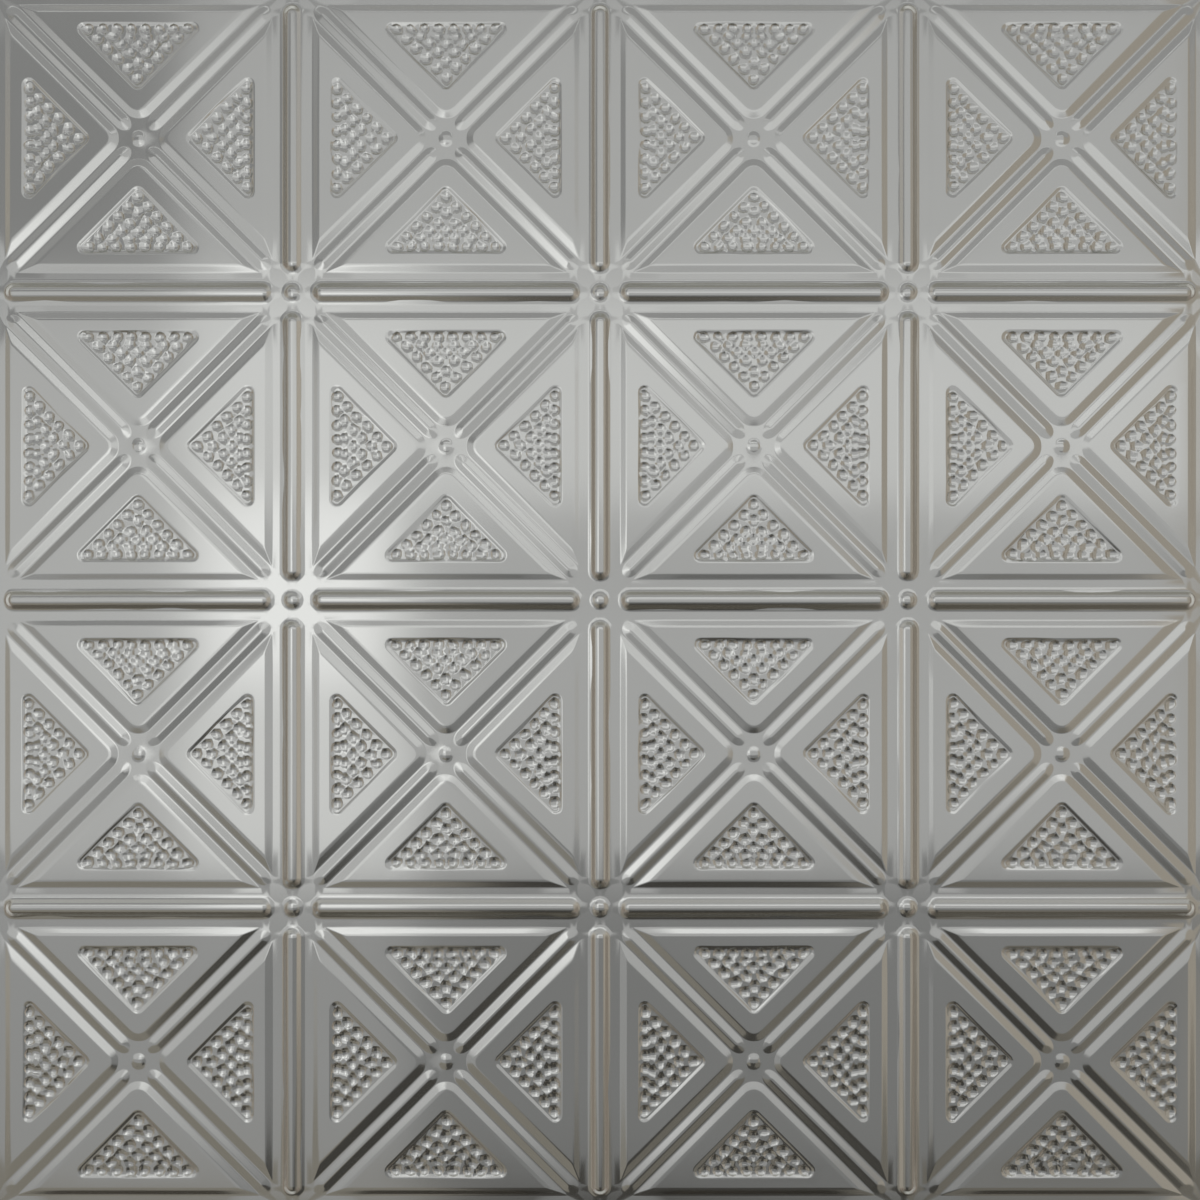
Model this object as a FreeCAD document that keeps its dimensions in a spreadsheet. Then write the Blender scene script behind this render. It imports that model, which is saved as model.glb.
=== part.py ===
"""Pressed tin ceiling tile: one thin tinplate sheet, pressed with four by four square cells.

The sheet lies flat with its back on z = 0 and its decorated face up. The flat rails, valleys and rim
stay at the level of the sheet as rolled. Everything else is raised from them: beads and buttons along
the grid lines between the cells, and in every cell four triangular fields, each with a sunk panel,
four ribs along the diagonals between the fields and a button at the middle.

Each raised form is a loft through level outlines. An outline is a closed run of straight edges, each
edge given by its heading, the direction that it faces, and by its reach, its distance from the form's
origin that way. The sheet is the skin over all the forms, one gauge thick.
"""
import FreeCAD
import Part
import math
import os
import Sketcher

# Driving dimensions in millimetres: alias, value, meaning.
SIZES = (
    ("cell_pitch", 152.4, "grid line to grid line, 6 inches"),
    ("cell_count", 4, "cells along each side"),
    ("edge_trim", 3.175, "each edge stands this far inside its 24 inch module"),
    ("sheet_gauge", 0.3, "thickness of the sheet"),
    ("bead_width", 11.8, "bead between two cells, across"),
    ("bead_height", 3.3, "bead, above the rail"),
    ("bead_end_gap", 8.8, "crossing of two grid lines to the end of a bead"),
    ("crossing_width", 10.2, "button where grid lines cross, across"),
    ("crossing_height", 2.4, "button where grid lines cross, above the rail"),
    ("rail_half", 12.7, "grid line to the top edge of a field"),
    ("channel_half", 7.4, "diagonal of a cell to the top edge of a field"),
    ("field_height", 2.4, "field, above the rail"),
    ("field_run", 3.1, "width of a field's sloping side, seen from above"),
    ("field_tip_cut", 0.2, "sharp point of a field's top to its blunt tip"),
    ("rib_width", 7.2, "rib along a diagonal, across its foot"),
    ("rib_crest", 0.8, "rib along a diagonal, across its flat crest"),
    ("rib_height", 2.1, "rib along a diagonal, above the valleys"),
    ("rib_inner_gap", 6.8, "middle of a cell to the end of a rib"),
    ("rib_outer_gap", 16.5, "crossing of two grid lines to the end of a rib"),
    ("middle_width", 7.3, "button at the middle of a cell, across"),
    ("middle_height", 1.6, "button at the middle of a cell, above the valleys"),
    ("panel_base_margin", 7.3, "field's top edge to the panel, beside a rail"),
    ("panel_side_margin", 8.5, "field's top edge to the panel, beside a diagonal"),
    ("panel_depth", 0.7, "panel, below the top of its field"),
    ("panel_run", 0.7, "width of a panel's sloping wall, seen from above"),
    ("panel_corner", 3.5, "rounding of a panel's corners"),
)

ROUND_HEADINGS = (0, 45, 90, 135, 180, 225, 270, 315)
QUARTER_TURNS = (0, 90, 180, 270)
UP = FreeCAD.Vector(0, 0, 1)


def make_size_sheet(doc):
    """Writes the driving dimensions into the document's spreadsheet, one aliased cell each."""
    sheet = doc.addObject("Spreadsheet::Sheet", "Sizes")
    for row, (alias, value, meaning) in enumerate(SIZES, start=1):
        sheet.set(f"A{row}", alias)
        sheet.set(f"B{row}", str(value))
        sheet.setAlias(f"B{row}", alias)
        sheet.set(f"C{row}", meaning)
    doc.recompute()


def corner_between(first, second):
    """Gives the point where two edges meet, each a pair of heading and reach."""
    (a, reach_a), (b, reach_b) = first, second
    a, b = math.radians(a), math.radians(b)
    turn = math.sin(b - a)
    x = (reach_a * math.sin(b) - reach_b * math.sin(a)) / turn
    y = (reach_b * math.cos(a) - reach_a * math.cos(b)) / turn
    return FreeCAD.Vector(x, y, 0)


def add_outline(doc, name, reaches, level):
    """Sketches a level outline whose edges keep their headings and whose reaches follow the sheet.

    reaches maps each heading, in order, to the formula of its edge's reach, which is negative where
    the origin lies outside the edge.
    """
    sketch = doc.addObject("Sketcher::SketchObject", name)
    edges = [(heading, float(sketch.evalExpression(formula))) for heading, formula in reaches.items()]
    corners = [corner_between(edges[index - 1], edge) for index, edge in enumerate(edges)]
    count = len(edges)
    for index in range(count):
        sketch.addGeometry(Part.LineSegment(corners[index], corners[(index + 1) % count]))
    for index in range(count):
        sketch.addConstraint(Sketcher.Constraint("Coincident", index, 2, (index + 1) % count, 1))
    for index, (heading, formula) in enumerate(reaches.items()):
        along = math.radians((heading + 90) % 360)
        sketch.addConstraint(Sketcher.Constraint("Angle", index, along))
        reach = edges[index][1]
        gap = sketch.addConstraint(Sketcher.Constraint("Distance", -1, 1, index, abs(reach)))
        sketch.renameConstraint(gap, f"reach_{heading}")
        sketch.setExpression(f"Constraints.reach_{heading}", formula if reach > 0 else f"-({formula})")
    sketch.setExpression("Placement.Base.z", level)
    return sketch


def add_loft(doc, name, tiers):
    """Lofts a solid with flat facets through outlines, each tier a pair of reaches and level."""
    loft = doc.addObject("Part::Loft", name)
    loft.Sections = [
        add_outline(doc, f"{name}_outline_{number}", reaches, level)
        for number, (reaches, level) in enumerate(tiers)
    ]
    loft.Ruled = True
    loft.Solid = True
    return loft


def round_reaches(growth, start="0", stop="0"):
    """Gives the reaches of a round form: a run along X from start to stop, grown outwards all round."""
    reaches = {}
    for heading in ROUND_HEADINGS:
        lean = math.cos(math.radians(heading))
        end = stop if lean > 0 else start
        reaches[heading] = f"({end}) * {lean:.9f} + {growth}"
    return reaches


def dome_tiers(width, height, start="0", stop="0"):
    """Gives the tiers of a dome or bead: its foot, shoulder and crown lie on one circular arc.

    The arc spans the given width, and its crown is a narrow flat at the given height.
    """
    radius = f"(({width}) ^ 2 / 4 + ({height}) ^ 2) / (2 * ({height}))"
    lean = f"asin(({width}) / 2 / ({radius}))"
    tiers = []
    for share in ("1", "2 / 3", "1 / 3"):
        rise = f"(cos({lean} * {share}) - cos({lean})) / (cos({lean} / 3) - cos({lean}))"
        growth = f"({radius}) * sin({lean} * {share})"
        tiers.append((round_reaches(growth, start, stop), f"({height}) * {rise}"))
    return tiers


def make_bead(doc):
    """Makes one bead along X, its middle at the origin."""
    half_run = "(Sizes.cell_pitch / 2 - Sizes.bead_end_gap - Sizes.bead_width / 2)"
    return add_loft(
        doc, "bead", dome_tiers("Sizes.bead_width", "Sizes.bead_height", f"-{half_run}", half_run)
    )


def make_rib(doc):
    """Makes one rib along X, from near the cell's middle at the origin to near a crossing."""
    start = "Sizes.rib_inner_gap + Sizes.rib_width / 2"
    stop = "Sizes.cell_pitch / sqrt(2) - Sizes.rib_outer_gap - Sizes.rib_width / 2"
    foot = round_reaches("Sizes.rib_width / 2", start, stop)
    crest = round_reaches("Sizes.rib_crest / 2", start, stop)
    return add_loft(doc, "rib", [(foot, "0"), (crest, "Sizes.rib_height")])


def triangle_reaches(base, side, tip, grow):
    """Gives the reaches of a triangle that points from the rail on +Y at the cell's middle.

    base, side and tip are the distances from the cell's middle to the edge by the rail, to the edges
    by the diagonals and to the blunt tip. The whole outline is grown outwards.
    """
    return {
        90: f"{base} + {grow}",
        225: f"{grow} - {side}",
        270: f"{grow} - {tip}",
        315: f"{grow} - {side}",
    }


def make_field(doc):
    """Makes one triangular field with its sunk panel, standing on z = 0 beside the rail on +Y."""
    base = "(Sizes.cell_pitch / 2 - Sizes.rail_half)"
    tip = "(Sizes.channel_half * sqrt(2) + Sizes.field_tip_cut)"
    block = add_loft(doc, "field_block", [
        (triangle_reaches(base, "Sizes.channel_half", tip, grow), level)
        for grow, level in (("Sizes.field_run", "0"), ("0", "Sizes.field_height"))
    ])

    # The panel's outline is a sharp triangle, its core, grown by the corners' rounding.
    core_base = f"({base} - Sizes.panel_base_margin - Sizes.panel_corner)"
    core_side = "(Sizes.channel_half + Sizes.panel_side_margin + Sizes.panel_corner)"
    core_tip = f"({core_side} * sqrt(2))"
    core_half = f"({core_base} - {core_tip})"
    floor = ("Sizes.panel_corner - Sizes.panel_run", "Sizes.field_height - Sizes.panel_depth")
    mouth = ("Sizes.panel_corner", "Sizes.field_height")
    panel_tiers = []
    for grow, level in (floor, mouth):
        corner = f"({core_half} + {core_base}) / sqrt(2) + {grow}"
        end = f"{core_half} + {grow}"
        reaches = triangle_reaches(core_base, core_side, core_tip, grow)
        reaches |= {0: end, 45: corner, 135: corner, 180: end}
        panel_tiers.append((dict(sorted(reaches.items())), level))
    panel = add_loft(doc, "panel_block", panel_tiers)

    field = doc.addObject("Part::Cut", "field")
    field.Base = block
    field.Tool = panel
    return field


def placed(form, x, y, turn=0):
    """Gives a copy of a form's solid, turned about Z and moved to a point of the tile."""
    copy = form.Shape.Solids[0].copy()
    copy.rotate(FreeCAD.Vector(0, 0, 0), UP, turn)
    copy.translate(FreeCAD.Vector(x, y, 0))
    return copy


def lay_out_forms(doc, field, rib, bead, middle, crossing):
    """Repeats the forms over the tile, all standing on z = 0, as a list of separate solids."""
    pitch = doc.Sizes.get("cell_pitch")
    count = int(doc.Sizes.get("cell_count"))
    centres = [(index - (count - 1) / 2) * pitch for index in range(count)]
    grid_lines = [(index - count / 2) * pitch for index in range(1, count)]
    forms = []
    for x in centres:
        for y in centres:
            forms.append(placed(middle, x, y))
            forms.extend(placed(field, x, y, turn) for turn in QUARTER_TURNS)
            forms.extend(placed(rib, x, y, turn + 45) for turn in QUARTER_TURNS)
        for line in grid_lines:
            forms.append(placed(bead, x, line))
            forms.append(placed(bead, line, x, 90))
    forms.extend(placed(crossing, x, y) for x in grid_lines for y in grid_lines)
    return forms


def is_foot(face):
    """Says whether a form's face is the one that it stands on."""
    return face.BoundBox.ZMax < face.BoundBox.DiagonalLength * 1e-6


def as_plane(face):
    """Gives a flat facet on a plane of its own, in place of a loft's ruled surface."""
    if isinstance(face.Surface, Part.Plane):
        return face
    points = [vertex.Point for vertex in face.OuterWire.OrderedVertexes]
    return Part.Face(Part.makePolygon([*points, points[0]]))


def make_skin(edge, forms):
    """Gives the sheet's surface from z = 0 up: the blank opened under each form, and the forms' facets."""
    opened = Part.Face(Part.makePolygon(edge))
    opened.cutHoles([face.OuterWire.reversed() for form in forms for face in form.Faces if is_foot(face)])
    opened.validate()
    return [opened, *(as_plane(face) for form in forms for face in form.Faces if not is_foot(face))]


def make_sheet(doc):
    """Makes the pressed sheet: its skin twice, one gauge apart, closed along the four edges."""
    prototypes = (
        make_field(doc),
        make_rib(doc),
        make_bead(doc),
        add_loft(doc, "middle_button", dome_tiers("Sizes.middle_width", "Sizes.middle_height")),
        add_loft(doc, "crossing_button", dome_tiers("Sizes.crossing_width", "Sizes.crossing_height")),
    )
    doc.recompute()
    forms = lay_out_forms(doc, *prototypes)
    gauge = FreeCAD.Vector(0, 0, doc.Sizes.get("sheet_gauge"))
    half = doc.Sizes.get("cell_count") * doc.Sizes.get("cell_pitch") / 2 - doc.Sizes.get("edge_trim")
    edge = [FreeCAD.Vector(half * x, half * y, 0) for x, y in ((-1, -1), (1, -1), (1, 1), (-1, 1), (-1, -1))]
    back = make_skin(edge, forms)
    front = [face.translated(gauge) for face in back]
    rim = [Part.makeLine(start, stop).extrude(gauge) for start, stop in zip(edge, edge[1:])]
    skin = Part.makeCompound([*back, *front, *rim])
    skin.sewShape()
    tile = doc.addObject("Part::Feature", "pressed_sheet")
    tile.Label = "pressed_sheet"
    tile.Shape = Part.makeSolid(skin.Shells[0])
    doc.recompute()
    return tile


def check(doc, nodes):
    """Stops the build where an object failed, or a node isn't one valid solid."""
    failed = [item.Name for item in doc.Objects if "Invalid" in item.State or "Error" in item.State]
    if failed:
        raise RuntimeError(f"objects failed: {failed}")
    for node in nodes:
        shape = node.Shape
        if shape.isNull() or not shape.isValid() or len(shape.Solids) != 1 or shape.Volume <= 0:
            raise RuntimeError(f"{node.Label} is not one valid solid")


def main():
    """Builds the tile and writes its node."""
    doc = FreeCAD.newDocument("pressed_tin_ceiling_tile")
    make_size_sheet(doc)
    nodes = [make_sheet(doc)]
    check(doc, nodes)
    os.makedirs("parts", exist_ok=True)
    for node in nodes:
        node.Shape.exportStep(f"parts/{node.Label}.step")
        box = node.Shape.BoundBox
        print(f"{node.Label}: {box.XLength:.2f} x {box.YLength:.2f} x {box.ZLength:.2f} mm,"
              f" {node.Shape.Volume:.0f} mm3, {len(node.Shape.Faces)} faces")


main()
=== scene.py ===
"""Dresses the pressed tin ceiling tile: its full relief, its tinplate finish, the light and the camera.

The tile is one sheet, so it is one piece: a height function over the tile's plane, sampled densely on
its face and more coarsely on its back, one gauge apart. The pattern repeats in one eighth of a cell, so
that eighth is divided into triangles once and then turned, mirrored and repeated over the tile.
"""
from __future__ import annotations

import itertools
import logging
import math
from dataclasses import dataclass
from enum import Enum

import bpy
import numpy as np
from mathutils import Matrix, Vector
from mathutils.geometry import delaunay_2d_cdt

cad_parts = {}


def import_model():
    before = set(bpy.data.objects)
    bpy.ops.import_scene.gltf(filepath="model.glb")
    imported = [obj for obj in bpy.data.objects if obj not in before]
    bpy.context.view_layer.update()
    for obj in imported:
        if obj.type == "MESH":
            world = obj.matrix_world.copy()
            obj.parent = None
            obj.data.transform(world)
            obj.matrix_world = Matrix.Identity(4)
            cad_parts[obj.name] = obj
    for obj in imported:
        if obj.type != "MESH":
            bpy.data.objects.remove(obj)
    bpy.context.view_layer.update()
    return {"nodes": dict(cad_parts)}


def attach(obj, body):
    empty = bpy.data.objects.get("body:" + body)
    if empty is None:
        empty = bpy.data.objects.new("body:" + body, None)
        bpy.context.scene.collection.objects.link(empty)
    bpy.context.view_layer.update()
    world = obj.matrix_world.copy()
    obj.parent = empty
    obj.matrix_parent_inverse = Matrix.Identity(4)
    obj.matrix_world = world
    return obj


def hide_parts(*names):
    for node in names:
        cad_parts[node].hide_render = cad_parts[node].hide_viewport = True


Array = np.ndarray
Colour = tuple[float, float, float]
Stops = tuple[tuple[float, Colour], ...]
LOG = logging.getLogger("ceiling_tile")
MM = 0.001
ROOT2 = math.sqrt(2.0)
NEAR = 1e-6


class Draw(Enum):
    """Seeds of the random draws: one for each way in which the sheet strays from its die."""

    PANEL_X = 11
    SHIFT_X = 12
    PANEL_Y = 21
    SHIFT_Y = 22
    BUCKLE = 31
    RIPPLE = 32


def ramp(t: Array, first: float, last: float) -> Array:
    """Rises from 0 to 1 as t does: a straight slope with a parabola at each end.

    Args:
        t: Position along the slope, 0 at its start and 1 at its end.
        first: Share of the run that the parabola at the start takes.
        last: Share of the run that the parabola at the end takes.

    Returns:
        The height at each position.
    """
    t = np.clip(t, 0.0, 1.0)
    steep = 2.0 / (2.0 - first - last)
    low = 0.5 * steep / first * t**2
    high = 1.0 - 0.5 * steep / last * (1.0 - t) ** 2
    return np.where(t < first, low, np.where(t > 1.0 - last, high, steep * (t - 0.5 * first)))


def ramp_place(height: float, first: float, last: float) -> float:
    """Gives the position at which a ramp reaches a height: the ramp turned round, piece by piece.

    Args:
        height: Height between 0 and 1.
        first: Share of the run that the parabola at the start takes.
        last: Share of the run that the parabola at the end takes.

    Returns:
        The position between 0 and 1.
    """
    steep = 2.0 / (2.0 - first - last)
    if height < 0.5 * steep * first:
        return math.sqrt(2.0 * height * first / steep)
    if height > 1.0 - 0.5 * steep * last:
        return 1.0 - math.sqrt(2.0 * (1.0 - height) * last / steep)
    return height / steep + 0.5 * first


def soft_max(a: Array, b: Array | float, blend: float) -> Array:
    """Takes the greater of two heights, with a parabola where they differ by less than blend.

    Args:
        a: First heights.
        b: Second heights.
        blend: Difference below which the two run together.

    Returns:
        The rounded greater height.
    """
    return np.maximum(a, b) + np.maximum(blend - np.abs(a - b), 0.0) ** 2 / (4.0 * blend)


def value_noise(x: Array, y: Array, cell: float, draw: Draw) -> Array:
    """Gives smooth random heights: random values on a square lattice, eased between by cubic steps.

    Args:
        x: First coordinate.
        y: Second coordinate.
        cell: Spacing of the lattice.
        draw: The random draw that the lattice's values come from.

    Returns:
        Values spread about zero with a deviation near a half.
    """
    count = 256
    lattice = np.random.default_rng(draw.value).standard_normal((count, count))
    i, j = np.floor(x / cell), np.floor(y / cell)
    fx, fy = x / cell - i, y / cell - j
    fx, fy = fx * fx * (3.0 - 2.0 * fx), fy * fy * (3.0 - 2.0 * fy)
    i, j = i.astype(int) % count, j.astype(int) % count
    k, m = (i + 1) % count, (j + 1) % count
    low = lattice[i, j] * (1.0 - fx) + lattice[k, j] * fx
    high = lattice[i, m] * (1.0 - fx) + lattice[k, m] * fx
    return low * (1.0 - fy) + high * fy


def run(start: tuple[float, float], stop: tuple[float, float], step: float) -> Array:
    """Gives evenly spaced points from start to stop, no further than step apart."""
    count = max(1, math.ceil(math.dist(start, stop) / step))
    return np.linspace(start, stop, count + 1)


def arc(centre: tuple[float, float], radius: float, first: float, last: float, count: int) -> Array:
    """Gives the points of an arc between two angles in degrees, count steps long."""
    angle = np.radians(np.linspace(first, last, count + 1))
    return np.stack([centre[0] + radius * np.cos(angle), centre[1] + radius * np.sin(angle)], axis=1)


@dataclass(frozen=True)
class Swell:
    """The section of a rounded form: half width and rise in millimetres, easings at its crest and foot."""

    half: float
    rise: float
    crest: float
    foot: float

    def height(self, distance: Array) -> Array:
        """Gives the height at a distance from the form's middle line or point."""
        return self.rise * (1.0 - ramp(distance / self.half, self.crest, self.foot))


@dataclass(frozen=True)
class Dimples:
    """The dimples of one panel, in millimetres, laid out as on the die.

    A row along the panel's base, a row along each side and, inside these, rows that shorten towards the
    tip. u runs along the rail and w from the base row towards the cell's middle. Each inner row gives its
    w, its half length and its number of dimples.
    """

    hollow: Swell = Swell(3.2, 1.3, 0.84, 0.13)
    blend: float = 0.12
    lift: float = 0.03
    base_count: int = 8
    base_half: float = 24.5
    side_steps: int = 5
    inner_rows: tuple[tuple[float, float, int], ...] = (
        (3.9, 12.5, 4),
        (7.7, 8.3, 3),
        (11.7, 4.0, 2),
        (16.8, 0.0, 1),
    )
    ridge_clearance: float = 0.55
    ridge_shares: tuple[float, ...] = (-0.7, 0.0, 0.7)
    axis_stretch: tuple[float, float] = (-2.2, 4.1)
    axis_count: int = 4
    axis_clearance: float = 0.35

    def centres(self) -> Array:
        """Works out the dimples' places.

        Returns:
            One row of u and w for each dimple.
        """
        base = np.linspace(-self.base_half, self.base_half, self.base_count)
        rows = [np.stack([base, np.zeros_like(base)], axis=1)]
        step = np.arange(1, self.side_steps) * self.base_half / self.side_steps
        for side in (-1.0, 1.0):
            rows.append(np.stack([side * (self.base_half - step), step], axis=1))
        rows.append(np.array([[0.0, self.base_half]]))
        for w, half, count in self.inner_rows:
            u = np.linspace(-half, half, count) if count > 1 else np.zeros(1)
            rows.append(np.stack([u, np.full(count, w)], axis=1))
        return np.concatenate(rows)

    def depth(self, u: Array, w: Array) -> Array:
        """Gives the depth of the dimples: the rounded greatest depth of them all, less a small lift."""
        total = np.zeros_like(u)
        for centre_u, centre_w in self.centres():
            total = soft_max(total, self.hollow.height(np.hypot(u - centre_u, w - centre_w)), self.blend)
        return total - self.lift

    def ring_points(self, share: float, count: int) -> Array:
        """Gives points on a ring about each dimple's middle.

        A point counts only where its own dimple is the nearest, and clear of any ridge.

        Args:
            share: The ring's radius, as a share of the dimple's.
            count: Number of points on a ring.

        Returns:
            One row of u and w for each point.
        """
        centres = self.centres()
        angle = np.linspace(0.0, 2.0 * np.pi, count, endpoint=False) + np.pi / 2.0
        ring = share * self.hollow.half * np.stack([np.cos(angle), np.sin(angle)], axis=1)
        points = (centres[:, None, :] + ring[None, :, :]).reshape(-1, 2)
        every, owner = np.arange(len(points)), np.repeat(np.arange(len(centres)), count)
        away = np.linalg.norm(points[:, None, :] - centres[None, :, :], axis=2)
        own = away[every, owner]
        away[every, owner] = np.inf
        return points[away.min(axis=1) > own + self.ridge_clearance]

    def ridge_points(self) -> list[Array]:
        """Gives points on the ridges where two dimples meet: on the line midway between their middles.

        Returns:
            For each share of a ridge's half length, rows of u and w.
        """
        centres, radius = self.centres(), self.hollow.half
        near, far = np.triu_indices(len(centres), 1)
        span = centres[far] - centres[near]
        length = np.linalg.norm(span, axis=1)
        pairs = length < 2.0 * radius
        near, span, length = near[pairs], span[pairs], length[pairs]
        reach = np.sqrt(radius**2 - length**2 / 4.0)
        turned = np.stack([-span[:, 1], span[:, 0]], axis=1) / length[:, None]
        found = []
        for share in self.ridge_shares:
            ridge = centres[near] + span / 2.0 + share * reach[:, None] * turned
            away = np.linalg.norm(ridge[:, None, :] - centres[None, :, :], axis=2)
            found.append(ridge[away.min(axis=1) > np.hypot(length / 2.0, share * reach) - NEAR])
        return found

    def half_points(self, rings: tuple[tuple[float, int], ...]) -> Array:
        """Gives the points that one half of a panel is divided at, with u from 0 upwards.

        They are the dimples' middles, rings about them, the ridges where two meet and the panel's axis.

        Args:
            rings: Share of the dimple's radius and number of points of each ring.

        Returns:
            One row of u and w for each point.
        """
        axis = np.stack([np.zeros(self.axis_count), np.linspace(*self.axis_stretch, self.axis_count)], axis=1)
        around = [self.ring_points(share, count) for share, count in rings]
        points = np.concatenate([self.centres(), *around, *self.ridge_points(), axis])
        u = points[:, 0]
        return points[(u > -NEAR) & ((u < NEAR) | (u > self.axis_clearance))]


@dataclass(frozen=True)
class Unevenness:
    """How far an old sheet strays from its die, and over what spacing, in millimetres."""

    panel_shift: float = 0.35
    panel_spacing: float = 7.0
    shift: float = 0.05
    shift_spacing: float = 34.0
    buckle: float = 0.16
    buckle_spacing: float = 110.0
    ripple: float = 0.02
    ripple_spacing: float = 24.0
    held_rim: float = 12.0

    def sideways(self, x: Array, y: Array, panels: Array, in_panel: Draw, overall: Draw) -> Array:
        """Gives a shift within the sheet: a fine one inside the panels and a slow one all over."""
        fine = self.panel_shift * panels * value_noise(x, y, self.panel_spacing, in_panel)
        return fine + self.shift * value_noise(x, y, self.shift_spacing, overall)

    def upwards(self, x: Array, y: Array) -> Array:
        """Gives a shift out of the sheet: a long buckle with a short ripple on it."""
        buckle = self.buckle * value_noise(x, y, self.buckle_spacing, Draw.BUCKLE)
        return buckle + self.ripple * value_noise(x, y, self.ripple_spacing, Draw.RIPPLE)


@dataclass(frozen=True)
class Detail:
    """How densely a side of the sheet is sampled.

    Offsets are in millimetres from a form's middle or edge, drops are shares of a field's height, and
    rings are shares of a dimple's radius, each with its number of points.
    """

    step: float
    bead_offsets: tuple[float, ...]
    crossing_radii: tuple[float, ...]
    middle_radii: tuple[float, ...]
    rib_offsets: tuple[float, ...]
    field_drops: tuple[float, ...]
    panel_offsets: tuple[float, ...]
    dimple_rings: tuple[tuple[float, int], ...]
    arc_steps: int

    @property
    def half_arc_steps(self) -> int:
        """Steps of an arc that is half as long."""
        return max(2, self.arc_steps // 2)


FACE_DETAIL = Detail(
    step=19.0,
    bead_offsets=(0.9, 1.8, 2.8, 4.0, 5.0, 5.8, 6.6),
    crossing_radii=(1.0, 2.0, 3.0, 4.0, 5.0, 5.9),
    middle_radii=(0.9, 1.8, 2.7, 3.6, 4.6),
    rib_offsets=(0.5, 1.05, 3.4, 3.85, 4.3),
    field_drops=(0.0, 0.07, 0.3, 0.75, 0.89, 0.95, 1.0),
    panel_offsets=(0.0, 0.8, 1.6, 2.3),
    dimple_rings=((0.45, 7), (0.86, 10), (1.0, 10)),
    arc_steps=5,
)
BACK_DETAIL = Detail(
    step=38.0,
    bead_offsets=(1.8, 6.0),
    crossing_radii=(2.6, 5.6),
    middle_radii=(1.8, 4.2),
    rib_offsets=(0.8, 4.0),
    field_drops=(0.15, 0.85),
    panel_offsets=(0.8,),
    dimple_rings=((0.7, 4),),
    arc_steps=3,
)


class EighthKind(Enum):
    """Where an eighth of a cell lies: among other cells, at the tile's edge, or beside one at the edge."""

    INNER = "inner"
    EDGE = "edge"
    BESIDE_EDGE = "beside_edge"


class Socket:
    """Wraps a node's output so that sums and products of values read as Python expressions."""

    def __init__(self, graph: ShaderGraph, node: bpy.types.Node, name: str | int) -> None:
        """Keeps the graph, the node and the output's name or number."""
        self.graph = graph
        self.node = node
        self.name = name

    @property
    def output(self) -> bpy.types.NodeSocket:
        """The node's output socket."""
        return self.node.outputs[self.name]

    def beside(self, name: str) -> Socket:
        """Gives another output of the same node."""
        return Socket(self.graph, self.node, name)

    def _math(self, operation: str, *inputs: Socket | float) -> Socket:
        """Adds a Math node over values and returns its result."""
        return self.graph.node("ShaderNodeMath", {"operation": operation}, dict(enumerate(inputs)))

    def __add__(self, other: Socket | float) -> Socket:
        """Adds two values."""
        return self._math("ADD", self, other)

    def __radd__(self, other: float) -> Socket:
        """Adds two values."""
        return self._math("ADD", other, self)

    def __mul__(self, other: Socket | float) -> Socket:
        """Multiplies two values."""
        return self._math("MULTIPLY", self, other)

    def __rmul__(self, other: float) -> Socket:
        """Multiplies two values."""
        return self._math("MULTIPLY", other, self)


class ShaderGraph:
    """Builds a node tree from expressions."""

    MIX_FACTOR, MIX_FIRST, MIX_SECOND, MIX_RESULT = 0, 6, 7, 2

    def __init__(self, tree: bpy.types.NodeTree) -> None:
        """Empties the tree and keeps it."""
        self.tree = tree
        tree.nodes.clear()

    def node(
        self,
        kind: str,
        settings: dict[str, object],
        inputs: dict[str | int, object],
        output: str | int = 0,
    ) -> Socket:
        """Adds a node, sets it up and links or fills its inputs.

        Args:
            kind: The node's type.
            settings: Its properties, or a ramp's stops under the key stops, set first.
            inputs: Values, colours of three numbers or sockets, by input name or number.
            output: The output to return.

        Returns:
            The wrapped output.
        """
        made = self.tree.nodes.new(kind)
        for name, value in settings.items():
            if name == "stops":
                elements = made.color_ramp.elements
                for number, (place, colour) in enumerate(value):
                    element = elements[number] if number < len(elements) else elements.new(place)
                    element.position, element.color = place, (*colour, 1.0)
            else:
                setattr(made, name, value)
        for name, value in inputs.items():
            if isinstance(value, Socket):
                self.tree.links.new(value.output, made.inputs[name])
            else:
                made.inputs[name].default_value = (*value, 1.0) if isinstance(value, tuple) else value
        return Socket(self, made, output)

    def mix(
        self,
        factor: Socket | float,
        first: Socket | Colour,
        second: Socket | Colour,
        blend: str = "MIX",
    ) -> Socket:
        """Adds a Mix node over two colours.

        Args:
            factor: 0 for the first colour alone, 1 for the full mix.
            first: The first colour.
            second: The second colour.
            blend: How the two are mixed.

        Returns:
            The mixed colour.
        """
        return self.node(
            "ShaderNodeMix",
            {"data_type": "RGBA", "blend_type": blend},
            {self.MIX_FACTOR: factor, self.MIX_FIRST: first, self.MIX_SECOND: second},
            self.MIX_RESULT,
        )


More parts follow.
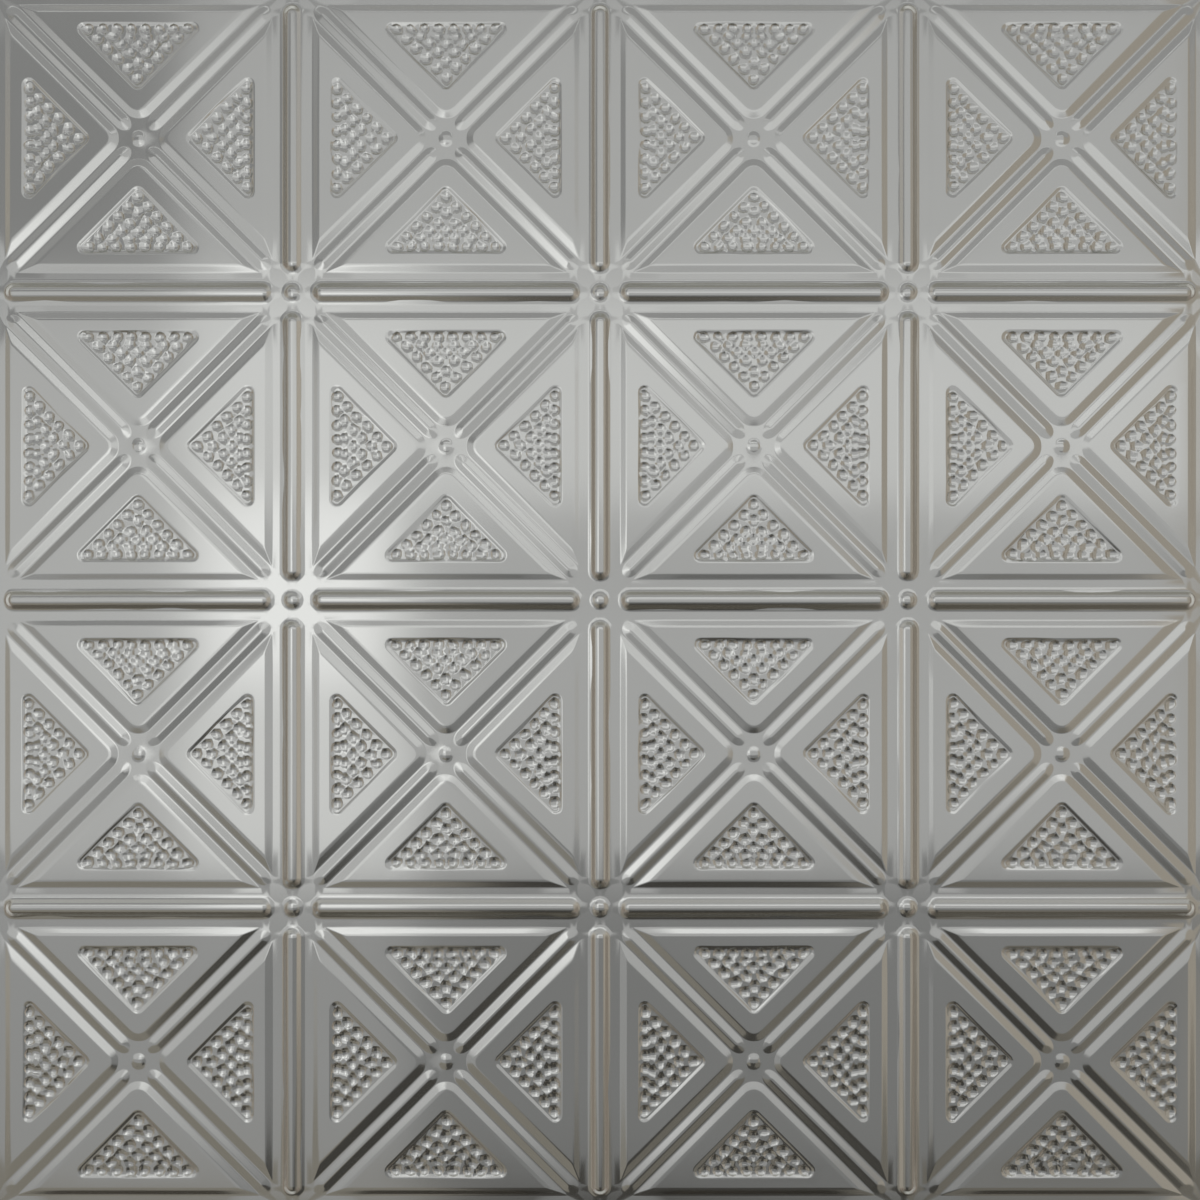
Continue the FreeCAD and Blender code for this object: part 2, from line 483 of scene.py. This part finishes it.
@dataclass(frozen=True)
class Tinplate:
    """Bare tinplate: satin bright metal with faint mottling and the finest grain."""

    colour: Colour = (0.80, 0.81, 0.79)
    stain: Colour = (0.74, 0.745, 0.72)
    roughness: float = 0.18
    roughness_spread: float = 0.04
    mottle_scale: float = 14.0
    mottle_detail: float = 4.0
    grain_scale: float = 420.0
    grain_detail: float = 2.0
    grain_strength: float = 0.02
    grain_height: float = 0.0001

    def material(self) -> bpy.types.Material:
        """Builds the material on object coordinates.

        Returns:
            The material.
        """
        made = bpy.data.materials.new("bare_tinplate")
        made.use_nodes = True
        graph = ShaderGraph(made.node_tree)
        place = graph.node("ShaderNodeTexCoord", {}, {}, "Object")
        mottle = graph.node(
            "ShaderNodeTexNoise",
            {},
            {"Vector": place, "Scale": self.mottle_scale, "Detail": self.mottle_detail},
            "Fac",
        )
        grain = graph.node(
            "ShaderNodeTexNoise",
            {},
            {"Vector": place, "Scale": self.grain_scale, "Detail": self.grain_detail},
            "Fac",
        )
        bump = graph.node(
            "ShaderNodeBump",
            {},
            {"Strength": self.grain_strength, "Distance": self.grain_height, "Height": grain},
            "Normal",
        )
        shader = graph.node(
            "ShaderNodeBsdfPrincipled",
            {},
            {
                "Base Color": graph.mix(mottle, self.stain, self.colour),
                "Metallic": 1.0,
                "Roughness": self.roughness - self.roughness_spread / 2.0 + self.roughness_spread * mottle,
                "Normal": bump,
            },
            "BSDF",
        )
        graph.node("ShaderNodeOutputMaterial", {}, {"Surface": shader})
        return made


@dataclass(frozen=True)
class PaleFloor:
    """A matt pale floor that looks pale from every side: it glows for what sees it, and lights nothing."""

    colour: Colour = (0.82, 0.82, 0.80)
    roughness: float = 0.8
    glow: float = 0.4

    def material(self) -> bpy.types.Material:
        """Builds the material.

        Returns:
            The material.
        """
        made = bpy.data.materials.new("pale_floor")
        made.use_nodes = True
        graph = ShaderGraph(made.node_tree)
        ray = graph.node("ShaderNodeLightPath", {}, {}, "Is Camera Ray")
        seen = ray + ray.beside("Is Glossy Ray") + ray.beside("Is Transmission Ray")
        shader = graph.node(
            "ShaderNodeBsdfPrincipled",
            {},
            {
                "Base Color": self.colour,
                "Roughness": self.roughness,
                "Emission Color": graph.mix(seen, (0.0, 0.0, 0.0), self.colour),
                "Emission Strength": self.glow,
            },
            "BSDF",
        )
        graph.node("ShaderNodeOutputMaterial", {}, {"Surface": shader})
        return made


@dataclass(frozen=True)
class PressedSheet:
    """The pressed sheet, its sizes in millimetres and its mesh.

    An easing gives the shares of a slope's run that its rounded top and foot take.
    """

    gauge: float = 0.3
    pitch: float = 152.4
    count: int = 4
    edge_trim: float = 3.175
    edge_step: float = 38.0
    bead: Swell = Swell(6.6, 3.3, 0.42, 0.4)
    bead_end_gap: float = 8.2
    crossing: Swell = Swell(5.9, 2.4, 0.5, 0.4)
    middle: Swell = Swell(4.9, 1.2, 0.55, 0.42)
    rib: Swell = Swell(4.3, 1.4, 0.24, 0.2)
    rib_inner_gap: float = 6.0
    rib_outer_gap: float = 15.6
    rib_end_run: float = 6.6
    field_rise: float = 1.75
    field_base: float = 62.1
    base_run: float = 4.7
    base_easing: tuple[float, float] = (0.26, 0.22)
    channel_half: float = 9.5
    side_run: float = 5.3
    side_easing: tuple[float, float] = (0.3, 0.12)
    tip_blend: float = 2.2
    tip_top: float = 14.3
    tip_run: float = 4.6
    tip_ease: float = 0.5
    tip_points: int = 5
    corner_blend: float = 0.35
    corner_step: float = 0.9
    panel_base: float = 54.0
    panel_tip: float = 27.5
    panel_corner: float = 4.0
    panel_depth: float = 0.9
    panel_run: float = 2.4
    panel_easing: tuple[float, float] = (0.45, 0.3)
    dimple_base: float = 53.8
    dimples: Dimples = Dimples()
    unevenness: Unevenness = Unevenness()

    @property
    def half(self) -> float:
        """Half of a cell's pitch."""
        return self.pitch / 2.0

    @property
    def edge(self) -> float:
        """Distance from the tile's middle to its edge."""
        return self.count * self.half - self.edge_trim

    @property
    def rim(self) -> float:
        """Distance from the middle of an outer cell to the tile's edge."""
        return self.half - self.edge_trim

    @property
    def bead_stop(self) -> float:
        """Distance from a bead's middle to the middle of its round end."""
        return self.half - self.bead_end_gap - self.bead.half

    @property
    def rib_ends(self) -> tuple[float, float]:
        """Distances along the diagonal from the cell's middle to the middles of a rib's round ends."""
        outer = self.half * ROOT2 - self.rib_outer_gap - self.rib_end_run
        return self.rib_inner_gap + self.rib_end_run, outer

    def panel_distance(self, u: Array, v: Array) -> Array:
        """Gives the distance outside a panel's rounded edge, negative inside it.

        It is the distance to the nearer edge of the panel's sharp core, less the corners' radius.

        Args:
            u: Distance along the rail from the cell's middle, positive.
            v: Distance towards the rail from the cell's middle.

        Returns:
            The signed distance.
        """
        base, tip = self.panel_base, self.panel_tip
        wide = base - tip
        to_base = np.hypot(np.maximum(u - wide, 0.0), v - base)
        along = np.clip((u + v - tip) / 2.0, 0.0, wide)
        to_side = np.hypot(u - along, v - tip - along)
        inside = (v <= base) & (v - u >= tip)
        nearest = np.minimum(to_base, to_side)
        return np.where(inside, -nearest, nearest) - self.panel_corner

    def side_share(self, u: Array, v: Array) -> Array:
        """Tells how far a point is down a field's sides or blunt tip: 0 at their top, 1 at their foot.

        Args:
            u: Distance along the rail from the cell's middle.
            v: Distance towards the rail from the cell's middle.

        Returns:
            The share of the slope, negative on the field's top.
        """
        near_side = self.channel_half - (v - u) / ROOT2
        far_side = self.channel_half - (v + u) / ROOT2
        share = soft_max(near_side, far_side, self.tip_blend) / self.side_run
        return soft_max(share, (self.tip_top - v) / self.tip_run, self.tip_ease)

    def field_height(self, u: Array, v: Array) -> Array:
        """Gives the height of the raised triangular field: the lesser of its slopes by rail and channel.

        Args:
            u: Distance along the rail from the cell's middle.
            v: Distance towards the rail from the cell's middle.

        Returns:
            The height above the flat of the sheet.
        """
        by_side = 1.0 - ramp(self.side_share(u, v), *self.side_easing)
        by_rail = 1.0 - ramp((v - self.field_base) / self.base_run, *self.base_easing)
        return -self.field_rise * soft_max(-by_side, -by_rail, self.corner_blend / self.field_rise)

    def fold(self, x: Array, y: Array) -> tuple[Array, Array]:
        """Gives a point's distances from the middle of its cell along x and y, without their signs."""
        return np.abs(np.mod(x, self.pitch) - self.half), np.abs(np.mod(y, self.pitch) - self.half)

    def panel_share(self, x: Array, y: Array) -> Array:
        """Tells how far a point is into a panel: 0 outside, 1 on its floor."""
        fold_x, fold_y = self.fold(x, y)
        outside = self.panel_distance(np.minimum(fold_x, fold_y), np.maximum(fold_x, fold_y))
        return ramp(-outside / self.panel_run, *self.panel_easing)

    def height(self, x: Array, y: Array) -> Array:
        """Gives the height of the relief above the flat of the sheet at points of the tile.

        A point is folded into one eighth of its cell, u along the nearer rail and v towards it. The forms
        stand apart, so their heights are added.

        Args:
            x: First coordinate on the tile.
            y: Second coordinate on the tile.

        Returns:
            The heights.
        """
        fold_x, fold_y = self.fold(x, y)
        u, v = np.minimum(fold_x, fold_y), np.maximum(fold_x, fold_y)

        limit = self.count / 2.0 - 0.5
        inner_x = np.abs(np.round(x / self.pitch)) < limit
        inner_y = np.abs(np.round(y / self.pitch)) < limit
        gap_x, gap_y = self.half - fold_x, self.half - fold_y
        across = np.hypot(np.maximum(fold_x - self.bead_stop, 0.0), gap_y)
        upright = np.hypot(np.maximum(fold_y - self.bead_stop, 0.0), gap_x)
        total = np.where(inner_y, self.bead.height(across), 0.0)
        total += np.where(inner_x, self.bead.height(upright), 0.0)
        total += np.where(inner_x & inner_y, self.crossing.height(np.hypot(gap_x, gap_y)), 0.0)
        total += self.middle.height(np.hypot(u, v))

        first, last = self.rib_ends
        along, aside = (u + v) / ROOT2, (v - u) / ROOT2
        beyond = np.maximum(np.maximum(first - along, along - last), 0.0) * self.rib.half / self.rib_end_run
        total += self.rib.height(np.hypot(beyond, aside))
        total += self.field_height(u, v)
        total -= self.panel_depth * self.panel_share(x, y)
        return total - self.dimples.depth(u, self.dimple_base - v)

    def surface(self, x: Array, y: Array) -> Array:
        """Gives the sheet's face as points in space: the relief with the unevenness of old tinplate.

        The unevenness fades out towards the tile's edge, which stays straight.

        Args:
            x: First coordinate on the die.
            y: Second coordinate on the die.

        Returns:
            One row of x, y and z for each point, in millimetres.
        """
        uneven, panels = self.unevenness, self.panel_share(x, y)
        inside = self.edge - np.maximum(np.abs(x), np.abs(y))
        free = np.clip(inside / uneven.held_rim, 0.0, 1.0)
        shift_x = uneven.sideways(x, y, panels, Draw.PANEL_X, Draw.SHIFT_X)
        shift_y = uneven.sideways(x, y, panels, Draw.PANEL_Y, Draw.SHIFT_Y)
        z = self.gauge + self.height(x, y) + free * uneven.upwards(x, y)
        return np.stack([x + free * shift_x, y + free * shift_y, z], axis=1)

    def normals(self, x: Array, y: Array) -> Array:
        """Gives the face's normals: the cross product of the surface's slopes along x and y."""
        reach = 0.03
        slope_x = self.surface(x + reach, y) - self.surface(x - reach, y)
        slope_y = self.surface(x, y + reach) - self.surface(x, y - reach)
        normal = np.cross(slope_x, slope_y)
        return normal / np.linalg.norm(normal, axis=1, keepdims=True)

    def eighth_lines(self, kind: EighthKind, detail: Detail) -> list[Array]:
        """Draws the lines that an eighth of a cell is divided along: contours of each form in it.

        Args:
            kind: Where the eighth lies.
            detail: Offsets of the contours and spacing of their points.

        Returns:
            Runs of points, u along the rail and v towards it.
        """
        corner = (self.half, self.half)
        lines = []
        if kind is not EighthKind.EDGE:
            lines.append(run((0.0, self.half), (self.bead_stop, self.half), detail.step))
            lines += [self.bead_line(offset, detail) for offset in detail.bead_offsets]
        if kind is EighthKind.INNER:
            lines += [arc(corner, r, 180.0, 225.0, detail.half_arc_steps) for r in detail.crossing_radii]
        lines += [arc((0.0, 0.0), r, 45.0, 90.0, detail.half_arc_steps) for r in detail.middle_radii]
        lines += [self.rib_line(offset, detail) for offset in detail.rib_offsets]
        first, last = (end / ROOT2 for end in self.rib_ends)
        lines.append(run((first, first), (last, last), detail.step))
        lines += [self.field_line(drop, detail) for drop in detail.field_drops]
        lines += [self.panel_line(offset, detail) for offset in detail.panel_offsets]
        lines.append(self.outer_line(kind))
        return lines

    def outer_line(self, kind: EighthKind) -> Array:
        """Draws the outline of an eighth of a cell; the tile's edge has the same points on face and back."""
        if kind is EighthKind.EDGE:
            edge = run((self.rim, self.rim), (0.0, self.rim), self.edge_step)
            return np.concatenate([[(0.0, 0.0)], edge])
        if kind is EighthKind.BESIDE_EDGE:
            return np.array([(0.0, 0.0), (self.rim, self.rim), (self.rim, self.half), (0.0, self.half)])
        return np.array([(0.0, 0.0), (self.half, self.half), (0.0, self.half)])

    def bead_line(self, offset: float, detail: Detail) -> Array:
        """Draws the contour of a bead at an offset from its crest, round its end to the rail's middle."""
        level = self.half - offset
        straight = run((0.0, level), (self.bead_stop, level), detail.step)
        end = arc((self.bead_stop, self.half), offset, -90.0, 0.0, detail.arc_steps)
        return np.concatenate([straight, end[1:]])

    def rib_line(self, offset: float, detail: Detail) -> Array:
        """Draws the contour of a rib at an offset from its crest, round both long ends to the diagonal."""
        first, last = self.rib_ends
        stretch = (self.rib_end_run / self.rib.half, 1.0)
        inner = arc((0.0, 0.0), offset, 180.0, 90.0, detail.arc_steps) * stretch + (first, 0.0)
        outer = arc((0.0, 0.0), offset, 90.0, 0.0, detail.arc_steps) * stretch + (last, 0.0)
        straight = run((first, offset), (last, offset), detail.step)
        along, aside = np.concatenate([inner[:-1], straight, outer[1:]]).T
        return np.stack([along - aside, along + aside], axis=1) / ROOT2

    def field_line(self, drop: float, detail: Detail) -> Array:
        """Draws the contour of a field, from the rail's middle round its corner to its blunt tip.

        Where the tip bends, the contour's place is found by halving between the cell's middle and the rail.

        Args:
            drop: How far the contour lies below the field's top, as a share of the field's height.
            detail: Spacing of the points on the straight parts.

        Returns:
            The contour's points.
        """
        halvings = 40
        base = self.field_base + ramp_place(drop, *self.base_easing) * self.base_run
        share = ramp_place(drop, *self.side_easing)
        gap = (self.channel_half - share * self.side_run) * ROOT2
        corner, near = base - gap, self.corner_step
        bend = max(self.tip_blend / ROOT2, self.tip_top + (self.tip_ease - share) * self.tip_run - gap)
        along_base = run((0.0, base), (corner - near, base), detail.step)
        down_side = run((corner - near, base - near), (bend, bend + gap), detail.step)
        u = np.linspace(bend, 0.0, self.tip_points)
        low, high = np.zeros_like(u), np.full_like(u, self.half)
        for _ in range(halvings):
            middle = (low + high) / 2.0
            below = self.side_share(u, middle) > share
            low, high = np.where(below, middle, low), np.where(below, high, middle)
        tip = np.stack([u, high], axis=1)
        return np.concatenate([along_base, [(corner, base)], down_side, tip[1:]])

    def panel_line(self, offset: float, detail: Detail) -> Array:
        """Draws the contour of a panel inside its edge, from its base's middle round to its tip.

        A contour that would cut the dimples along the base starts at the panel's corner instead.
        """
        base, tip = self.panel_base, self.panel_tip
        radius = self.panel_corner - offset
        corner = arc((base - tip, base), radius, 90.0, -45.0, detail.arc_steps)
        point = arc((0.0, tip), radius, -45.0, -90.0, detail.half_arc_steps)
        clear = base + radius > self.dimple_base + self.dimples.hollow.half
        straight = run((0.0, base + radius), tuple(corner[0]), detail.step) if clear else corner[:1]
        side = run(tuple(corner[-1]), tuple(point[0]), detail.step)
        return np.concatenate([straight, corner[1:], side[1:], point[1:]])

    def divide_eighth(self, kind: EighthKind, detail: Detail) -> tuple[Array, Array]:
        """Divides an eighth of a cell into triangles whose edges follow the contours.

        Points that lie on the eighth's sides are put exactly there, so that eighths meet.

        Args:
            kind: Where the eighth lies.
            detail: How densely it is sampled.

        Returns:
            Points, u and v, and triangles, anticlockwise.
        """
        lines = self.eighth_lines(kind, detail)
        dots = self.dimples.half_points(detail.dimple_rings)
        dots = np.stack([dots[:, 0], self.dimple_base - dots[:, 1]], axis=1)
        points = np.concatenate([*lines, dots])
        points[np.abs(points[:, 0]) < NEAR, 0] = 0.0
        mean = points.mean(axis=1)
        on_diagonal = np.abs(points[:, 0] - points[:, 1]) < NEAR
        points[on_diagonal] = mean[on_diagonal, None]
        for level in (self.half, self.rim):
            points[np.abs(points - level) < NEAR] = level
        edges = []
        start = 0
        for line in lines:
            edges += [(start + k, start + k + 1) for k in range(len(line) - 1)]
            start += len(line)
        weld = 1e-5
        made = delaunay_2d_cdt([Vector(p) for p in points.tolist()], edges, [], 0, weld)
        return np.array([tuple(p) for p in made[0]]), np.array([tuple(f) for f in made[2]])

    def eighth_kind(self, at_edge: bool, beside_edge: bool) -> EighthKind:
        """Tells an eighth's kind from whether it or its twin across the diagonal is at the tile's edge."""
        if at_edge:
            return EighthKind.EDGE
        return EighthKind.BESIDE_EDGE if beside_edge else EighthKind.INNER

    def spread(self, detail: Detail) -> tuple[Array, Array]:
        """Repeats the divided eighths over the whole tile and joins them along shared points.

        Args:
            detail: How densely an eighth is sampled.

        Returns:
            Points on the tile and triangles, anticlockwise seen from above.
        """
        parts = {kind: self.divide_eighth(kind, detail) for kind in EighthKind}
        points, faces, total = [], [], 0
        last, cells, signs = self.count - 1, range(self.count), (-1, 1)
        eighths = itertools.product(cells, cells, signs, signs, (False, True))
        for column, row, sign_x, sign_y, swapped in eighths:
            edge_x = column == (0 if sign_x < 0 else last)
            edge_y = row == (0 if sign_y < 0 else last)
            at_edge, beside_edge = (edge_x, edge_y) if swapped else (edge_y, edge_x)
            local, triangles = parts[self.eighth_kind(at_edge, beside_edge)]
            placed = local[:, ::-1] if swapped else local
            centre = (np.array([column, row]) - last / 2.0) * self.pitch
            points.append(placed * (sign_x, sign_y) + centre)
            turned = swapped ^ (sign_x * sign_y < 0)
            faces.append((triangles[:, ::-1] if turned else triangles) + total)
            total += len(local)
        keys_per_mm = 1e4
        merged = np.concatenate(points)
        keys = np.round(merged * keys_per_mm).astype(np.int64)
        _, first, index = np.unique(keys, axis=0, return_index=True, return_inverse=True)
        return merged[first], index.reshape(-1)[np.concatenate(faces)]

    def edge_order(self, points: Array) -> Array:
        """Gives the points on the tile's edge in order round it, anticlockwise from above."""
        slack = 1e-3
        on_edge = np.flatnonzero(np.abs(points).max(axis=1) > self.edge - slack)
        x, y = points[on_edge].T
        return on_edge[np.argsort(np.arctan2(y, x))]

    def build(self) -> bpy.types.Object:
        """Builds the sheet's mesh: its face, its back one gauge lower, and the strip round its edge.

        Returns:
            The piece, at the origin.
        """
        top, top_faces = self.spread(FACE_DETAIL)
        low, low_faces = self.spread(BACK_DETAIL)
        top_points, low_points = self.surface(*top.T), self.surface(*low.T)
        low_points[:, 2] -= self.gauge
        top_ring, low_ring = self.edge_order(top), self.edge_order(low) + len(top)
        a, b, c, d = top_ring, low_ring, np.roll(low_ring, -1), np.roll(top_ring, -1)
        strip = np.concatenate([np.stack([a, b, c], axis=1), np.stack([a, c, d], axis=1)])
        back_faces = low_faces[:, ::-1] + len(top)
        faces = np.concatenate([top_faces, back_faces, strip])
        points = np.concatenate([top_points, low_points])

        normals = np.concatenate([self.normals(*top.T), -self.normals(*low.T)])
        corners = normals[np.concatenate([top_faces, back_faces])].reshape(-1, 3)
        span = points[c] - points[b]
        outward = np.stack([span[:, 1], -span[:, 0], np.zeros(len(span))], axis=1)
        outward /= np.linalg.norm(outward, axis=1, keepdims=True)
        strip_corners = np.repeat(np.concatenate([outward, outward]), 3, axis=0)

        mesh = bpy.data.meshes.new("pressed_tinplate_sheet")
        mesh.from_pydata((points * MM).tolist(), [], faces.tolist())
        mesh.update()
        mesh.shade_smooth()
        mesh.normals_split_custom_set(np.concatenate([corners, strip_corners]).tolist())
        piece = bpy.data.objects.new("pressed_tinplate_sheet", mesh)
        bpy.context.scene.collection.objects.link(piece)
        LOG.info("face %d, back %d triangles, edge %d", len(top_faces), len(back_faces), len(strip))
        return piece

    def dress(self, piece: bpy.types.Object, finish: Tinplate) -> None:
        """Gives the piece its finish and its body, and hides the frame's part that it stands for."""
        piece.data.materials.append(finish.material())
        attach(piece, "root")
        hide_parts("pressed_sheet")


@dataclass(frozen=True)
class SoftBox:
    """A level rectangular soft light over the tile, in metres, its brightness that of a white card."""

    name: str
    left: float
    right: float
    front: float
    back: float
    brightness: float
    height: float = 0.3
    colour: Colour = (1.0, 1.0, 1.0)

    def build(self) -> bpy.types.Object:
        """Builds the light, facing down.

        Returns:
            The lamp, which the camera doesn't see.
        """
        lamp = bpy.data.lights.new(self.name, "AREA")
        lamp.shape = "RECTANGLE"
        lamp.color = self.colour
        lamp.size, lamp.size_y = self.right - self.left, self.back - self.front
        lamp.energy = self.brightness * math.pi * lamp.size * lamp.size_y
        made = bpy.data.objects.new(self.name, lamp)
        made.visible_camera = False
        made.location = ((self.left + self.right) / 2.0, (self.front + self.back) / 2.0, self.height)
        bpy.context.scene.collection.objects.link(made)
        return made


@dataclass(frozen=True)
class Studio:
    """The floor, the soft lights, the dim room and the camera, in metres.

    The room's tones run from the front of the tile to its back, and its fade from the horizon upwards.
    """

    view_width: float = 0.5948
    camera_height: float = 1.0
    sensor: float = 36.0
    floor_half: float = 4.0
    floor_level: float = -0.001
    boxes: tuple[SoftBox, ...] = (
        SoftBox("left_far", -1.2, -0.7, -0.38, 0.4, 0.35, colour=(1.0, 0.94, 0.83)),
        SoftBox("left", -0.7, -0.27, -0.18, 0.2, 0.51),
        SoftBox("key", -0.27, -0.12, -0.18, 0.2, 0.74),
        SoftBox("key_core", -0.25, -0.14, -0.05, 0.07, 0.28, height=0.29),
        SoftBox("centre_back", -0.12, 0.4, 0.06, 0.2, 0.66),
        SoftBox("centre_front", -0.12, 0.4, -0.18, 0.06, 0.45),
        SoftBox("right", 0.4, 1.2, -0.38, 0.4, 0.36, colour=(1.0, 0.91, 0.78)),
        SoftBox("over_left", -0.7, -0.27, 0.2, 0.4, 0.26),
        SoftBox("over", -0.27, 0.4, 0.2, 0.4, 0.48),
        SoftBox("back", -1.2, 1.2, 0.4, 1.2, 0.32),
        SoftBox("front_left", -0.7, -0.12, -0.38, -0.18, 0.33),
        SoftBox("front", -0.12, 0.4, -0.38, -0.18, 0.22),
        SoftBox("front_far_left", -1.2, -0.1, -0.9, -0.38, 0.23, colour=(1.0, 0.93, 0.8)),
        SoftBox("front_far", -0.1, 0.2, -0.9, -0.38, 0.055, colour=(1.0, 0.95, 0.86)),
        SoftBox("front_far_right", 0.2, 1.2, -0.9, -0.38, 0.16, colour=(1.0, 0.93, 0.8)),
        SoftBox("strip", -1.6, 1.6, 1.55, 1.8, 0.5, height=2.0),
    )
    room_tones: Stops = (
        (0.0, (0.085, 0.078, 0.062)),
        (0.15, (0.25, 0.21, 0.175)),
        (0.5, (0.24, 0.205, 0.17)),
        (0.85, (0.25, 0.235, 0.2)),
        (1.0, (0.255, 0.25, 0.22)),
    )
    room_fade: Stops = ((0.2, (1.0, 1.0, 1.0)), (0.42, (0.0, 0.0, 0.0)))

    def floor(self, finish: PaleFloor) -> bpy.types.Object:
        """Builds the floor that the tile lies on, just under its lowest dimples.

        Args:
            finish: The floor's finish.

        Returns:
            The floor.
        """
        half, level = self.floor_half, self.floor_level
        mesh = bpy.data.meshes.new("floor")
        corners = [(-half, -half, level), (half, -half, level), (half, half, level), (-half, half, level)]
        mesh.from_pydata(corners, [], [(0, 1, 2, 3)])
        mesh.materials.append(finish.material())
        made = bpy.data.objects.new("floor", mesh)
        bpy.context.scene.collection.objects.link(made)
        return made

    def room(self) -> bpy.types.World:
        """Builds the dim room round the tile: darkest in front of it, and black above the soft lights.

        Returns:
            The world that holds it.
        """
        world = bpy.data.worlds.new("room")
        world.use_nodes = True
        bpy.context.scene.world = world
        graph = ShaderGraph(world.node_tree)
        aim = graph.node("ShaderNodeTexCoord", {}, {}, "Generated")
        backwards = graph.node("ShaderNodeSeparateXYZ", {}, {"Vector": aim}, "Y")
        upwards = backwards.beside("Z")
        place = 0.5 + 0.5 * backwards
        tone = graph.node("ShaderNodeValToRGB", {"stops": self.room_tones}, {"Fac": place}, "Color")
        fade = graph.node("ShaderNodeValToRGB", {"stops": self.room_fade}, {"Fac": upwards}, "Color")
        light = graph.node(
            "ShaderNodeBackground",
            {},
            {"Color": graph.mix(1.0, tone, fade, "MULTIPLY"), "Strength": 1.0},
            "Background",
        )
        graph.node("ShaderNodeOutputWorld", {}, {"Surface": light})
        return world

    def camera(self) -> bpy.types.Object:
        """Builds the camera straight above the tile, framed as the photograph is.

        Returns:
            The camera.
        """
        data = bpy.data.cameras.new("photo_camera")
        data.sensor_width = self.sensor
        data.lens = self.sensor * self.camera_height / self.view_width
        made = bpy.data.objects.new("photo_camera", data)
        made.location = (0.0, 0.0, self.camera_height)
        bpy.context.scene.collection.objects.link(made)
        bpy.context.scene.camera = made
        return made

    def build(self) -> None:
        """Builds the floor, the room, the lights and the camera."""
        self.floor(PaleFloor())
        self.room()
        for box in self.boxes:
            box.build()
        self.camera()
        bpy.context.scene.view_settings.view_transform = "Standard"
        LOG.info("studio: %d soft lights", len(self.boxes))


def main() -> None:
    """Loads the frame, builds the sheet and the studio, and reports each piece."""
    logging.basicConfig(level=logging.INFO, format="%(name)s: %(message)s")
    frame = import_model()
    LOG.info("frame holds %s", ", ".join(frame["nodes"]))
    sheet = PressedSheet()
    piece = sheet.build()
    sheet.dress(piece, Tinplate())
    LOG.info("%s: %d triangles", piece.name, len(piece.data.polygons))
    Studio().build()


if __name__ == "__main__":
    main()
